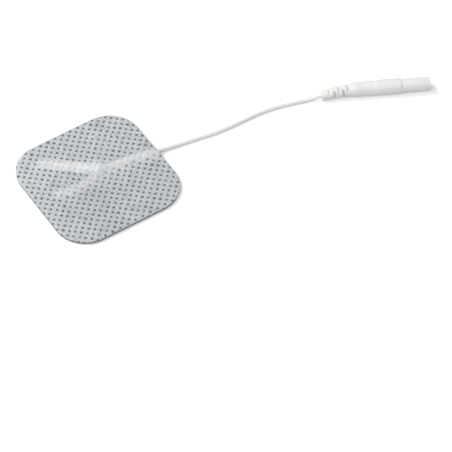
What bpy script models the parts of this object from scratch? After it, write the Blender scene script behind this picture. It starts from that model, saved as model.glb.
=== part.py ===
"""Self-adhesive nerve-stimulation electrode: a square gel pad with a dimpled nonwoven back,
the lead that forks under that back, and the 2 mm socket connector on the lead's far end.

Metres, +Z up. The origin is the middle of the pad on its gel face. The lead leaves the pad
over its +X edge and lies on the surface that the pad lies on.
"""

import math

import bmesh
import bpy
from mathutils import Matrix, Vector

MM = 0.001

# Pad: outline and the thickness of each layer
PAD_SIDE = 50.0 * MM
CORNER_RADIUS = 12.3 * MM
CORNER_STEPS = 12
GEL_THICKNESS = 0.90 * MM
FILM_THICKNESS = 0.10 * MM
FABRIC_THICKNESS = 0.35 * MM
BOND_GAP = 0.05 * MM

# Point-bond pattern pressed into the nonwoven: staggered rows, a little askew to the pad's edges
DOT_PITCH_X = 3.195 * MM
DOT_PITCH_Y = 3.014 * MM
DOT_SKEW = math.radians(1.48)
DOT_SHIFT = (0.52 * MM, 0.01 * MM)
DOT_SIDE = 0.80 * MM
DOT_DEPTH = 0.15 * MM
PUFF = 0.07 * MM

# Lead and the two bundles of bare strands that it splits into
LEAD_DIAMETER = 1.4 * MM
LEAD_BEVEL_STEPS = 2
LEAD_POINT_SPACING = 2.5 * MM
STRAND_HEIGHT = 0.50 * MM
STRAND_TIP_HEIGHT = 0.30 * MM
STRAND_WIDTH = 0.90 * MM
STRAND_GAP = 0.35 * MM
STRAND_POINT_SPACING = 2.4 * MM
STRAND_SIDES = 12
STRAND_SCALLOP = 0.88
LONG_STRANDS_TIP = (-13.0 * MM, 15.7 * MM)
LONG_STRANDS_TIP_WIDTH = 2.6 * MM
LONG_STRANDS_BOW = 0.35 * MM
SHORT_STRANDS_TIP = (-15.0 * MM, 1.1 * MM)
SHORT_STRANDS_TIP_WIDTH = 1.8 * MM
SHORT_STRANDS_BOW = -1.6 * MM

# Groove that the lead presses into film and gel: flat bottom and foot, as half-widths
LEAD_SINK = 0.50 * MM
SINK_FLAT = 0.62 * MM
SINK_FOOT = 1.60 * MM
SINK_RUN_OUT = 1.8 * MM
SINK_HALFWAY = 0.6
SINK_STEPS = 5

# Ridge that the back makes over them: flat crown, soft foot, measured from its middle line
TENT_CLEARANCE = 0.14 * MM
LEAD_CROWN = 0.55 * LEAD_DIAMETER
LEAD_FOOT = 2.7 * MM
STRAND_FOOT = 1.45 * MM
STRAND_CROWN = 0.6

# Connector: stations along its axis from the tail, and radii
CONNECTOR_LENGTH = 40.6 * MM
CONNECTOR_TURN = math.radians(-26.8)
CONNECTOR_TAIL = (90.59 * MM, -10.61 * MM)
TURNED_STEPS = 32
CONTACT_STEPS = 24
FIT_GAP = 0.05 * MM
TAIL_RADIUS = 1.83 * MM
RIBS_START_RADIUS = 1.98 * MM
RIBS_END_RADIUS = 2.24 * MM
SHOULDER_RADIUS = 2.48 * MM
BODY_RADIUS = 2.56 * MM
BODY_END_RADIUS = 2.68 * MM
COLLAR_RADIUS = 2.86 * MM
NOSE_RADIUS = 2.55 * MM
TAIL_BLOCK_LENGTH = 2.70 * MM
SLOT_PITCH = 1.70 * MM
SLOT_WIDTH = 0.80 * MM
SLOT_COUNT = 5
SHOULDER_LENGTH = 2.2 * MM
GROOVE_WIDTH = 0.30 * MM
GROOVE_DEPTH = 0.10 * MM
COLLAR_START = 20.2 * MM
COLLAR_LENGTH = 9.8 * MM
EDGE_ROUND = 0.18 * MM
WEB_HALF = 0.92 * MM
SPIGOT_RADIUS = 1.92 * MM
SPIGOT_START = 16.5 * MM
CONTACT_RADIUS = 1.45 * MM
CONTACT_BORE_RADIUS = 1.02 * MM
CONTACT_BORE_DEPTH = 13.0 * MM
CONTACT_SPLIT_WIDTH = 0.30 * MM
CONTACT_SPLIT_LENGTH = 7.0 * MM
MOUTH_RADIUS = 1.20 * MM
MOUTH_LIP = 0.80 * MM
CRIMP_RADIUS = 0.90 * MM
CRIMP_BORE_RADIUS = 0.50 * MM
CRIMP_LENGTH = 5.0 * MM
CRIMP_START = 15.0 * MM
LEAD_END_STATION = 14.7 * MM
BARE_WIRE_RADIUS = 0.42 * MM
BARE_WIRE_LENGTH = 4.2 * MM
BARE_WIRE_SIDES = 12

# Strain relief as it lies, bent evenly between its tail and this station; the roll is 0 degrees
# for a bend to the side and 90 degrees for one straight down
FLEX_END = 13.5 * MM
FLEX_ANGLE = math.radians(12.5)
FLEX_ROLL = math.radians(39.0)
FLEX_RINGS = 7

# Levels that follow from the layers
FILM_BOTTOM = GEL_THICKNESS + BOND_GAP
FILM_TOP = FILM_BOTTOM + FILM_THICKNESS
FABRIC_BOTTOM = FILM_TOP + BOND_GAP
FABRIC_TOP = FABRIC_BOTTOM + FABRIC_THICKNESS
LEAD_ON_FILM = FABRIC_BOTTOM + LEAD_DIAMETER / 2 - LEAD_SINK

# Lead under the back, from the fork to the pad's edge, in millimetres
LEAD_IN_PAD = [(3.2, 2.75), (6.5, 2.25), (10.5, 1.6), (15.0, 0.85), (20.0, -0.06), (24.5, -0.93)]

# Free lead from the pad's edge to the connector, in millimetres: x, y and the height of its middle
FREE_LEAD = [
    (25.9, -1.19, 1.28), (29.05, -1.64, 1.02), (32.15, -2.1, 0.82), (36.2, -2.74, 0.72),
    (40.3, -3.42, 0.70), (47.5, -4.66, 0.70), (54.1, -5.2, 0.70), (61.6, -5.34, 0.70),
    (67.1, -5.58, 0.70), (72.6, -6.32, 0.70), (77.95, -7.65, 0.71), (81.25, -8.6, 0.74),
    (84.4, -9.6, 0.86), (86.3, -10.24, 1.12),
]
STRAIGHT_LEAD_IN = 1.6 * MM
LEAD_STOPS = 6

# How finely a smooth curve is followed before its points are spaced out, and the largest
# distance, in counts of dots, between a bond point's middle and its pit
CURVE_STEPS = 24
LATTICE_TOLERANCE = 0.01


def start_scene():
    """Empties the file and makes the two collections that the model uses."""
    for old in list(bpy.data.objects):
        bpy.data.objects.remove(old, do_unlink=True)
    parts = bpy.data.collections.new("electrode_pad")
    cutters = bpy.data.collections.new("cutters")
    bpy.context.scene.collection.children.link(parts)
    bpy.context.scene.collection.children.link(cutters)
    return parts, cutters


def material(name, colour, roughness, metallic=0.0, alpha=1.0):
    made = bpy.data.materials.new(name)
    made.use_nodes = True
    made.diffuse_color = (*colour, alpha)
    shader = made.node_tree.nodes["Principled BSDF"]
    shader.inputs["Base Color"].default_value = (*colour, 1.0)
    shader.inputs["Roughness"].default_value = roughness
    shader.inputs["Metallic"].default_value = metallic
    shader.inputs["Alpha"].default_value = alpha
    return made


def new_object(name, mesh, collection, *materials):
    made = bpy.data.objects.new(name, mesh)
    collection.objects.link(made)
    for each in materials:
        mesh.materials.append(each)
    return made


def mesh_from(bm, name, smooth_angle=None):
    """Turns a bmesh into mesh data, shaded smooth where the angle between faces is small."""
    mesh = bpy.data.meshes.new(name)
    bm.to_mesh(mesh)
    bm.free()
    if smooth_angle is not None:
        mesh.shade_smooth()
        mesh.set_sharp_from_angle(angle=smooth_angle)
    return mesh


def hide_cutter(cutter):
    cutter.hide_render = True
    cutter.display_type = "WIRE"


def cut_with(target, cutter, operation, name):
    """Adds a live Boolean, which the exact solver works out."""
    cut = target.modifiers.new(name, "BOOLEAN")
    cut.operation = operation
    cut.solver = "EXACT"
    cut.object = cutter


def rounded_slab(name, collection, low, high, *materials):
    """Square plate with the pad's outline between two heights: a cube with its upright edges rounded."""
    bm = bmesh.new()
    bmesh.ops.create_cube(bm, size=1.0)
    bmesh.ops.scale(bm, vec=(PAD_SIDE, PAD_SIDE, high - low), verts=bm.verts)
    bmesh.ops.translate(bm, vec=(0, 0, (low + high) / 2), verts=bm.verts)
    upright = [e for e in bm.edges if abs(e.verts[0].co.z - e.verts[1].co.z) > (high - low) / 2]
    bmesh.ops.bevel(bm, geom=upright, offset=CORNER_RADIUS, segments=CORNER_STEPS,
                    affect="EDGES", profile=0.5)
    return new_object(name, mesh_from(bm, name), collection, *materials)


def smooth_path(points, spacing):
    """Evenly spaced points on a smooth curve through the given ones."""
    ends = [2 * points[0] - points[1], *points, 2 * points[-1] - points[-2]]
    fine = []
    for a, b, c, d in zip(ends, ends[1:], ends[2:], ends[3:]):
        for k in range(CURVE_STEPS):
            t = k / CURVE_STEPS
            fine.append(0.5 * (2 * b + (c - a) * t + (2 * a - 5 * b + 4 * c - d) * t * t
                               + (3 * b - 3 * c + d - a) * t ** 3))
    fine.append(points[-1])
    reach = [0.0]
    for a, b in zip(fine, fine[1:]):
        reach.append(reach[-1] + (b - a).length)
    count = max(2, round(reach[-1] / spacing))
    found = []
    k = 0
    for i in range(count + 1):
        goal = reach[-1] * i / count
        while k < len(fine) - 2 and reach[k + 1] < goal:
            k += 1
        share = (goal - reach[k]) / (reach[k + 1] - reach[k])
        found.append(fine[k].lerp(fine[k + 1], share))
    return found


def mix(a, b, t):
    return a + (b - a) * t


def loft(name, rings, smooth_angle=None):
    """Closed skin through rings of points, capped at both ends."""
    bm = bmesh.new()
    loops = []
    for ring in rings:
        spots = [bm.verts.new(point) for point in ring]
        loops.append([bm.edges.new((spots[k - 1], spots[k])) for k in range(len(spots))])
    for near, ahead in zip(loops, loops[1:]):
        bmesh.ops.bridge_loops(bm, edges=near + ahead)
    for end in (loops[0], loops[-1]):
        bmesh.ops.contextual_create(bm, geom=end)
    bmesh.ops.recalc_face_normals(bm, faces=bm.faces[:])
    return mesh_from(bm, name, smooth_angle)


def frames_along(line):
    """Each point of a line with the level direction across it."""
    for i, middle in enumerate(line):
        ahead = line[min(i + 1, len(line) - 1)] - line[max(i - 1, 0)]
        yield middle, Vector((-ahead.y, ahead.x, 0.0)).normalized()


def flat_points(pairs):
    return [Vector((x * MM, y * MM, 0.0)) for x, y in pairs]


def closest_on(line, point):
    """Distance from a point to a chain of straight runs, and how far along it that is, from 0 to 1."""
    total = sum((b - a).length for a, b in zip(line, line[1:]))
    best, at, run = math.inf, 0.0, 0.0
    for a, b in zip(line, line[1:]):
        span = b - a
        share = min(1.0, max(0.0, (point - a).dot(span) / span.length_squared))
        gap = (point - a - span * share).length
        if gap < best:
            best, at = gap, (run + share * span.length) / total
        run += span.length
    return best, at


def smooth_step(t):
    t = min(1.0, max(0.0, t))
    return t * t * (3 - 2 * t)


def lead_run(past_edge):
    """Middle line of the lead under the back, carried on past the pad's edge."""
    line = flat_points(LEAD_IN_PAD)
    line.append(line[-1] + (line[-1] - line[-2]).normalized() * past_edge)
    return line


def strand_path(tip, side, bow):
    """Middle line of a bundle of strands from beside the lead to its tip, bowed towards the other bundle."""
    fork, inward = flat_points(LEAD_IN_PAD[:2])
    ahead = (fork - inward).normalized()
    across = Vector((-ahead.y, ahead.x, 0.0)) * side
    start = fork + ahead * STRAND_GAP + across * (STRAND_WIDTH + STRAND_GAP) / 2
    end = Vector((*tip, 0.0))
    aside = (end - start).cross(Vector((0, 0, side))).normalized() * bow
    count = round((end - start).length / STRAND_POINT_SPACING)
    return [start.lerp(end, k / count) + aside * 4 * k * (count - k) / count ** 2 for k in range(count + 1)]


def long_strands_path():
    return strand_path(LONG_STRANDS_TIP, -1, LONG_STRANDS_BOW)


def short_strands_path():
    return strand_path(SHORT_STRANDS_TIP, 1, SHORT_STRANDS_BOW)


def ridge_limbs():
    """Each limb of the ridge: its middle line, then lift and crown half-width at both ends, and foot."""
    lead_lift = LEAD_DIAMETER - LEAD_SINK + TENT_CLEARANCE
    start_lift = STRAND_HEIGHT + TENT_CLEARANCE
    tip_lift = STRAND_TIP_HEIGHT + TENT_CLEARANCE
    limbs = [(lead_run(PAD_SIDE / 2), lead_lift, lead_lift, LEAD_CROWN, LEAD_CROWN, LEAD_FOOT - LEAD_CROWN)]
    for line, width in ((long_strands_path(), LONG_STRANDS_TIP_WIDTH),
                        (short_strands_path(), SHORT_STRANDS_TIP_WIDTH)):
        start_crown = STRAND_CROWN * STRAND_WIDTH
        limbs.append((line, start_lift, tip_lift, start_crown, STRAND_CROWN * width, STRAND_FOOT))
    return limbs


def ridge_lift(limbs, x, y):
    """How far the back is lifted off the film at a place."""
    point = Vector((x, y, 0.0))
    total = 0.0
    for line, lift_a, lift_b, crown_a, crown_b, foot in limbs:
        gap, at = closest_on(line, point)
        fall = smooth_step((gap - mix(crown_a, crown_b, at)) / foot)
        total += (mix(lift_a, lift_b, at) * (1 - fall)) ** 4
    return total ** 0.25


def dot_lattice():
    """Matrix from counts of dots along the two diagonals to places on the pad."""
    across, up = DOT_PITCH_X / 2, DOT_PITCH_Y / 2
    cell = Matrix(((across, -across, 0, 0), (up, up, 0, 0), (0, 0, 1, 0), (0, 0, 0, 1)))
    return Matrix.Translation((*DOT_SHIFT, 0)) @ Matrix.Rotation(DOT_SKEW, 4, "Z") @ cell


def outside_by(x, y):
    """Distance outside the pad's rounded outline, negative inside."""
    flat = PAD_SIDE / 2 - CORNER_RADIUS
    return math.hypot(max(0.0, abs(x) - flat), max(0.0, abs(y) - flat)) - CORNER_RADIUS


def make_fabric_backing(parts, cutters):
    """Nonwoven back: one diamond cell for each bond point, a pit in each, tented over the lead."""
    place = dot_lattice()
    limbs = ridge_limbs()
    cell_edge = math.hypot(DOT_PITCH_X, DOT_PITCH_Y) / 2
    pit_share = DOT_SIDE / cell_edge
    reach = math.ceil(PAD_SIDE / 2 * (1 / DOT_PITCH_X + 1 / DOT_PITCH_Y)) + 1

    bm = bmesh.new()
    count = 2 * reach + 1
    bmesh.ops.create_grid(bm, x_segments=count, y_segments=count, size=count / 2)
    centres = {face: place @ face.calc_center_median() for face in bm.faces}
    far = [face for face, at in centres.items() if outside_by(at.x, at.y) > DOT_PITCH_X / 2]
    bmesh.ops.delete(bm, geom=far, context="FACES")
    raised = bmesh.ops.extrude_face_region(bm, geom=bm.faces[:])["geom"]
    top_points = {v for v in raised if isinstance(v, bmesh.types.BMVert)}
    bmesh.ops.translate(bm, vec=(0, 0, FABRIC_THICKNESS), verts=list(top_points))
    top_cells = [f for f in bm.faces if all(v in top_points for v in f.verts)]
    bottom_cells = [f for f in bm.faces if not any(v in top_points for v in f.verts)]

    def near_ridge(face):
        spots = [place @ v.co for v in face.verts] + [place @ face.calc_center_median()]
        return any(ridge_lift(limbs, at.x, at.y) > 0 for at in spots)

    plain = [f for f in top_cells if not near_ridge(f)]
    bmesh.ops.inset_individual(bm, faces=plain, thickness=(1 - pit_share) / 2, use_even_offset=True)
    tented = [f for f in top_cells + bottom_cells if f not in set(plain) and near_ridge(f)]
    tented_edges = list({edge for face in tented for edge in face.edges})
    bmesh.ops.subdivide_edges(bm, edges=tented_edges, cuts=2, use_grid_fill=True)

    pits = []
    for face in bm.faces:
        at = face.calc_center_median()
        on_top = all(v.co.z > FABRIC_THICKNESS / 2 for v in face.verts)
        off_lattice = max(abs(at.x - round(at.x)), abs(at.y - round(at.y)))
        if on_top and off_lattice < LATTICE_TOLERANCE:
            pits.append(face)
    for face in pits:
        middle = face.calc_center_median()
        for v in face.verts:
            across = v.co.x - middle.x
            up = v.co.y - middle.y
            v.co.x = middle.x + math.copysign(pit_share / 2, across)
            v.co.y = middle.y + math.copysign(pit_share / 2, up)
    poked = bmesh.ops.poke(bm, faces=pits)
    bmesh.ops.translate(bm, vec=(0, 0, -DOT_DEPTH), verts=poked["verts"])
    for face in poked["faces"]:
        face.material_index = 1

    for v in bm.verts:
        if v.co.z > FABRIC_THICKNESS / 2:
            v.co.z += PUFF * 4 * abs(v.co.x - round(v.co.x)) * abs(v.co.y - round(v.co.y))
    bmesh.ops.transform(bm, matrix=Matrix.Translation((0, 0, FABRIC_BOTTOM)) @ place, verts=bm.verts)
    for v in bm.verts:
        v.co.z += ridge_lift(limbs, v.co.x, v.co.y)
    bmesh.ops.triangulate(bm, faces=bm.faces[:])
    bmesh.ops.recalc_face_normals(bm, faces=bm.faces[:])

    nonwoven = material("nonwoven", (0.61, 0.64, 0.66), 0.9)
    bond_point = material("bond_point", (0.16, 0.17, 0.18), 0.7)
    back = new_object("fabric_backing", mesh_from(bm, "fabric_backing"), parts, nonwoven, bond_point)
    die = rounded_slab("fabric_die", cutters, 0.0, FABRIC_TOP + 3 * LEAD_DIAMETER, nonwoven)
    hide_cutter(die)
    cut_with(back, die, "INTERSECT", "die_cut")


def sink_loft(name, collection, base, ceiling, *materials):
    """Solid above the groove's floor: a level bottom along the lead that rises to just over base."""
    line = lead_run(SINK_FOOT * 2)
    ahead = (line[0] - line[1]).normalized()
    depths = [0.0, SINK_HALFWAY] + [1.0] * len(line)
    line = [line[0] + ahead * SINK_RUN_OUT, line[0] + ahead * SINK_RUN_OUT / 2] + line
    rise = 0.3 * FILM_THICKNESS
    spread = [0.0] + [mix(SINK_FLAT, SINK_FOOT, k / SINK_STEPS) for k in range(SINK_STEPS + 1)]
    spread = [-gap for gap in reversed(spread[1:])] + spread
    rings = []
    for (middle, across), depth in zip(frames_along(line), depths):
        ring = []
        for gap in spread:
            climb = smooth_step((abs(gap) - SINK_FLAT) / (SINK_FOOT - SINK_FLAT))
            height = mix(base - LEAD_SINK * depth, base + rise, climb)
            ring.append(middle + across * gap + Vector((0, 0, height)))
        ring += [middle + across * gap + Vector((0, 0, ceiling)) for gap in (SINK_FOOT, -SINK_FOOT)]
        rings.append(ring)
    return new_object(name, loft(name, rings), collection, *materials)


def make_pad_layers(parts, cutters):
    """Carbon film and hydrogel, cut with the same die as the back; the lead presses a groove into both."""
    carbon = material("carbon_film", (0.03, 0.03, 0.035), 0.45)
    gel = material("hydrogel", (0.62, 0.66, 0.66), 0.15, alpha=0.75)
    above = FABRIC_TOP + LEAD_DIAMETER
    die = rounded_slab("film_die", cutters, 0.0, above)
    fold = sink_loft("film_fold", cutters, FILM_BOTTOM, FILM_BOTTOM + 0.6 * FILM_THICKNESS)
    film_groove = sink_loft("film_groove", cutters, FILM_TOP, above)
    gel_groove = sink_loft("gel_groove", cutters, GEL_THICKNESS, above)
    for cutter in (die, fold, film_groove, gel_groove):
        hide_cutter(cutter)

    bm = bmesh.new()
    bmesh.ops.create_cube(bm, size=1.0)
    bmesh.ops.scale(bm, vec=(PAD_SIDE + SINK_FOOT, PAD_SIDE + SINK_FOOT, FILM_THICKNESS), verts=bm.verts)
    bmesh.ops.translate(bm, vec=(0, 0, (FILM_BOTTOM + FILM_TOP) / 2), verts=bm.verts)
    film = new_object("carbon_film", mesh_from(bm, "carbon_film"), parts, carbon)
    cut_with(film, fold, "UNION", "fold_under_lead")
    cut_with(film, film_groove, "DIFFERENCE", "groove")
    cut_with(film, die, "INTERSECT", "die_cut")
    pad = rounded_slab("hydrogel_pad", parts, 0.0, GEL_THICKNESS, gel)
    cut_with(pad, gel_groove, "DIFFERENCE", "groove")


def make_strands(name, parts, line, tip_width, tinsel):
    """Flattened bundle of bare strands that fans out on the film: a loft of scalloped sections."""
    rings = []
    for i, (middle, across) in enumerate(frames_along(line)):
        share = i / (len(line) - 1)
        half_width = mix(STRAND_WIDTH, tip_width, share) / 2
        half_height = mix(STRAND_HEIGHT, STRAND_TIP_HEIGHT, share) / 2
        ring = []
        for k in range(STRAND_SIDES):
            turn = 2 * math.pi * k / STRAND_SIDES
            scallop = 1.0 if k % 2 == 0 else STRAND_SCALLOP
            height = FABRIC_BOTTOM + half_height * (1 + math.sin(turn) * scallop)
            ring.append(middle + across * (math.cos(turn) * half_width) + Vector((0, 0, height)))
        rings.append(ring)
    new_object(name, loft(name, rings, math.radians(60)), parts, tinsel)


def connector_matrix():
    """Local +Z runs from the connector's tail to its mouth, and local -X is up."""
    origin = Vector((*CONNECTOR_TAIL, COLLAR_RADIUS))
    return (Matrix.Translation(origin) @ Matrix.Rotation(CONNECTOR_TURN, 4, "Z")
            @ Matrix.Rotation(math.pi / 2, 4, "Y"))


def on_flexed_axis(station):
    """Place on the connector's middle line, in its own coordinates: an arc up to FLEX_END, then straight."""
    bent = min(max(FLEX_END - station, 0.0), FLEX_END)
    beyond = FLEX_END - station - bent
    turn = FLEX_ANGLE * bent / FLEX_END
    radius = FLEX_END / FLEX_ANGLE
    aside = radius * (1 - math.cos(turn)) + beyond * math.sin(turn)
    back = radius * math.sin(turn) + beyond * math.cos(turn)
    return Vector((aside * math.sin(FLEX_ROLL), -aside * math.cos(FLEX_ROLL), FLEX_END - back))


def flex(boot, cutters, axis_empty, length):
    """Bends the strain relief about an empty whose local Z points back along it to the tail."""
    pivot = bpy.data.objects.new("flex_pivot", None)
    pivot.parent = axis_empty
    pivot.matrix_basis = (Matrix.Translation((0, 0, FLEX_END)) @ Matrix.Rotation(FLEX_ROLL, 4, "Z")
                          @ Matrix.Rotation(math.pi, 4, "X"))
    cutters.objects.link(pivot)
    bend = boot.modifiers.new("flex", "SIMPLE_DEFORM")
    bend.deform_method = "BEND"
    bend.deform_axis = "X"
    bend.origin = pivot
    bend.limits = ((length - FLEX_END) / length, 1.0)
    bend.angle = FLEX_ANGLE


def make_lead(parts, place):
    """Insulated lead from the fork under the back to the crimp in the connector."""
    points = [Vector((x * MM, y * MM, LEAD_ON_FILM)) for x, y in LEAD_IN_PAD]
    points += [Vector((x, y, z)) * MM for x, y, z in FREE_LEAD]
    points.append(place @ on_flexed_axis(-STRAIGHT_LEAD_IN))
    points += [place @ on_flexed_axis(LEAD_END_STATION * k / LEAD_STOPS) for k in range(LEAD_STOPS + 1)]
    path = smooth_path(points, LEAD_POINT_SPACING)
    curve = bpy.data.curves.new("lead_wire", "CURVE")
    curve.dimensions = "3D"
    spline = curve.splines.new("POLY")
    spline.points.add(len(path) - 1)
    for spot, at in zip(spline.points, path):
        spot.co = (*at, 1.0)
    curve.bevel_depth = LEAD_DIAMETER / 2
    curve.bevel_resolution = LEAD_BEVEL_STEPS
    curve.use_fill_caps = True
    curve.materials.append(material("lead_jacket", (0.80, 0.80, 0.77), 0.4))
    lead = bpy.data.objects.new("lead_wire", curve)
    parts.objects.link(lead)


def turned(name, outline, collection, axis_empty, finish, steps=TURNED_STEPS):
    """Turned piece: a closed outline of (radius, station) pairs and a Screw modifier round local Z."""
    bm = bmesh.new()
    spots = [bm.verts.new((radius, 0.0, station)) for radius, station in outline]
    for a, b in zip(spots, spots[1:] + spots[:1]):
        bm.edges.new((a, b))
    made = new_object(name, mesh_from(bm, name), collection, finish)
    sweep = made.modifiers.new("turn", "SCREW")
    sweep.axis = "Z"
    sweep.angle = 2 * math.pi
    sweep.steps = steps
    sweep.render_steps = steps
    sweep.use_merge_vertices = True
    sweep.merge_threshold = 0.00001
    sweep.use_smooth_shade = True
    made.parent = axis_empty
    return made


def box_cutter(name, boxes, cutters, axis_empty):
    """One hidden cutter made of several boxes, each given by its middle and its size."""
    bm = bmesh.new()
    for middle, size in boxes:
        bmesh.ops.create_cube(bm, size=1.0, matrix=Matrix.Translation(middle) @ Matrix.Diagonal((*size, 1.0)))
    made = new_object(name, mesh_from(bm, name), cutters)
    made.parent = axis_empty
    hide_cutter(made)
    return made


def make_strain_relief_boot(parts, cutters, axis_empty, plastic):
    """Soft overmould: slotted strain relief, shoulder, body and the thicker collar round the nose."""
    ribs_end = TAIL_BLOCK_LENGTH + SLOT_PITCH * SLOT_COUNT
    shoulder_end = ribs_end + SHOULDER_LENGTH - SLOT_PITCH / 2
    collar_end = COLLAR_START + COLLAR_LENGTH
    wire_bore = LEAD_DIAMETER / 2 + FIT_GAP
    crimp_bore = CRIMP_RADIUS + FIT_GAP
    spigot_bore = SPIGOT_RADIUS + FIT_GAP
    groove = shoulder_end + 2 * GROOVE_WIDTH
    outline = [
        (COLLAR_RADIUS - EDGE_ROUND, collar_end),
        (COLLAR_RADIUS, collar_end - EDGE_ROUND),
        (COLLAR_RADIUS, COLLAR_START + 3 * EDGE_ROUND),
        (COLLAR_RADIUS - EDGE_ROUND / 3, COLLAR_START + EDGE_ROUND / 2),
        (BODY_END_RADIUS, COLLAR_START - EDGE_ROUND / 2),
        (BODY_RADIUS, groove),
        (BODY_RADIUS - GROOVE_DEPTH, groove - 0.3 * GROOVE_WIDTH),
        (BODY_RADIUS - GROOVE_DEPTH, groove - 0.7 * GROOVE_WIDTH),
        (BODY_RADIUS, groove - GROOVE_WIDTH),
        (BODY_RADIUS, shoulder_end),
        (SHOULDER_RADIUS, (ribs_end + shoulder_end) / 2),
        (RIBS_END_RADIUS, ribs_end),
        (RIBS_START_RADIUS, TAIL_BLOCK_LENGTH + SLOT_WIDTH / 2),
        (TAIL_RADIUS, TAIL_BLOCK_LENGTH),
        (TAIL_RADIUS, EDGE_ROUND),
        (TAIL_RADIUS - EDGE_ROUND, 0.0),
        *((wire_bore, LEAD_END_STATION * k / FLEX_RINGS) for k in range(FLEX_RINGS + 1)),
        (crimp_bore, LEAD_END_STATION),
        (crimp_bore, SPIGOT_START - FIT_GAP),
        (spigot_bore, SPIGOT_START - FIT_GAP),
        (spigot_bore, collar_end),
    ]
    boot = turned("strain_relief_boot", outline, parts, axis_empty, plastic)
    boxes = []
    deep = 2 * COLLAR_RADIUS
    for k in range(SLOT_COUNT):
        station = TAIL_BLOCK_LENGTH + SLOT_WIDTH / 2 + k * SLOT_PITCH
        for side in (-1, 1):
            away = side * (WEB_HALF + deep / 2)
            middle = (away, 0.0, station) if k % 2 == 0 else (0.0, away, station)
            size = (deep, 2 * deep, SLOT_WIDTH) if k % 2 == 0 else (2 * deep, deep, SLOT_WIDTH)
            boxes.append((Vector(middle), size))
    slots = box_cutter("slot_cutter", boxes, cutters, axis_empty)
    cut_with(boot, slots, "DIFFERENCE", "slots")
    flex(boot, cutters, axis_empty, collar_end)


def make_socket_housing(parts, axis_empty, plastic):
    """Hard nose with the spigot that the boot is moulded round, bored for the contact."""
    collar_end = COLLAR_START + COLLAR_LENGTH
    contact_bore = CONTACT_RADIUS + FIT_GAP
    outline = [
        (MOUTH_RADIUS, CONNECTOR_LENGTH - MOUTH_LIP),
        (MOUTH_RADIUS, CONNECTOR_LENGTH - EDGE_ROUND),
        (MOUTH_RADIUS + EDGE_ROUND, CONNECTOR_LENGTH),
        (NOSE_RADIUS - 1.5 * EDGE_ROUND, CONNECTOR_LENGTH),
        (NOSE_RADIUS - 0.45 * EDGE_ROUND, CONNECTOR_LENGTH - 0.45 * EDGE_ROUND),
        (NOSE_RADIUS, CONNECTOR_LENGTH - 1.5 * EDGE_ROUND),
        (NOSE_RADIUS, collar_end + FIT_GAP),
        (SPIGOT_RADIUS, collar_end + FIT_GAP),
        (SPIGOT_RADIUS, SPIGOT_START),
        (contact_bore, SPIGOT_START),
        (contact_bore, CONNECTOR_LENGTH - MOUTH_LIP),
    ]
    turned("socket_housing", outline, parts, axis_empty, plastic)


def make_contact_socket(parts, cutters, axis_empty):
    """Turned contact: split socket for a 2 mm pin, neck and crimp barrel."""
    plated = material("nickel_plate", (0.72, 0.70, 0.64), 0.25, metallic=1.0)
    front = CONNECTOR_LENGTH - MOUTH_LIP - FIT_GAP
    bore_end = front - CONTACT_BORE_DEPTH
    barrel_end = CRIMP_START + CRIMP_LENGTH
    shoulder = barrel_end + CONTACT_RADIUS - CRIMP_RADIUS
    outline = [
        (0.0, bore_end),
        (CONTACT_BORE_RADIUS, bore_end),
        (CONTACT_BORE_RADIUS, front),
        (CONTACT_RADIUS, front),
        (CONTACT_RADIUS, shoulder),
        (CRIMP_RADIUS, barrel_end),
        (CRIMP_RADIUS, CRIMP_START),
        (CRIMP_BORE_RADIUS, CRIMP_START),
        (CRIMP_BORE_RADIUS, barrel_end - CRIMP_RADIUS / 2),
        (0.0, barrel_end - CRIMP_RADIUS / 2),
    ]
    contact = turned("contact_socket", outline, parts, axis_empty, plated, CONTACT_STEPS)
    middle = Vector((0, 0, front - CONTACT_SPLIT_LENGTH / 2 + CONTACT_SPLIT_WIDTH))
    size = (4 * CONTACT_RADIUS, CONTACT_SPLIT_WIDTH, CONTACT_SPLIT_LENGTH + 2 * CONTACT_SPLIT_WIDTH)
    split = box_cutter("split_cutter", [(middle, size)], cutters, axis_empty)
    cut_with(contact, split, "DIFFERENCE", "split")


def make_crimped_wire(parts, axis_empty, tinsel):
    """Bare end of the conductor inside the crimp barrel."""
    bm = bmesh.new()
    bmesh.ops.create_cone(bm, cap_ends=True, segments=BARE_WIRE_SIDES, radius1=BARE_WIRE_RADIUS,
                          radius2=BARE_WIRE_RADIUS, depth=BARE_WIRE_LENGTH)
    low = LEAD_END_STATION + FIT_GAP
    bmesh.ops.translate(bm, vec=(0, 0, low + BARE_WIRE_LENGTH / 2), verts=bm.verts)
    made = new_object("crimped_wire", mesh_from(bm, "crimped_wire", math.radians(40)), parts, tinsel)
    made.parent = axis_empty


def main():
    parts, cutters = start_scene()
    tinsel = material("tinned_strand", (0.60, 0.58, 0.54), 0.35, metallic=1.0)
    soft_plastic = material("boot_plastic", (0.82, 0.82, 0.80), 0.5)
    hard_plastic = material("housing_plastic", (0.80, 0.80, 0.79), 0.35)
    place = connector_matrix()
    axis_empty = bpy.data.objects.new("connector_axis", None)
    axis_empty.matrix_world = place
    cutters.objects.link(axis_empty)

    make_pad_layers(parts, cutters)
    make_fabric_backing(parts, cutters)
    make_strands("long_strands", parts, long_strands_path(), LONG_STRANDS_TIP_WIDTH, tinsel)
    make_strands("short_strands", parts, short_strands_path(), SHORT_STRANDS_TIP_WIDTH, tinsel)
    make_lead(parts, place)
    make_strain_relief_boot(parts, cutters, axis_empty, soft_plastic)
    make_socket_housing(parts, axis_empty, hard_plastic)
    make_contact_socket(parts, cutters, axis_empty)
    make_crimped_wire(parts, axis_empty, tinsel)


main()
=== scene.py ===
"""Looks of the stimulation electrode: dimpled nonwoven back, film, gel, lead and socket connector.

Metres, +Z up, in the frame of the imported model. The pad lies on its gel face round the origin,
and the lead leaves it over the +X edge.
"""
import math

import bmesh
import bpy
import numpy as np
from mathutils import Matrix, Vector


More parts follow.
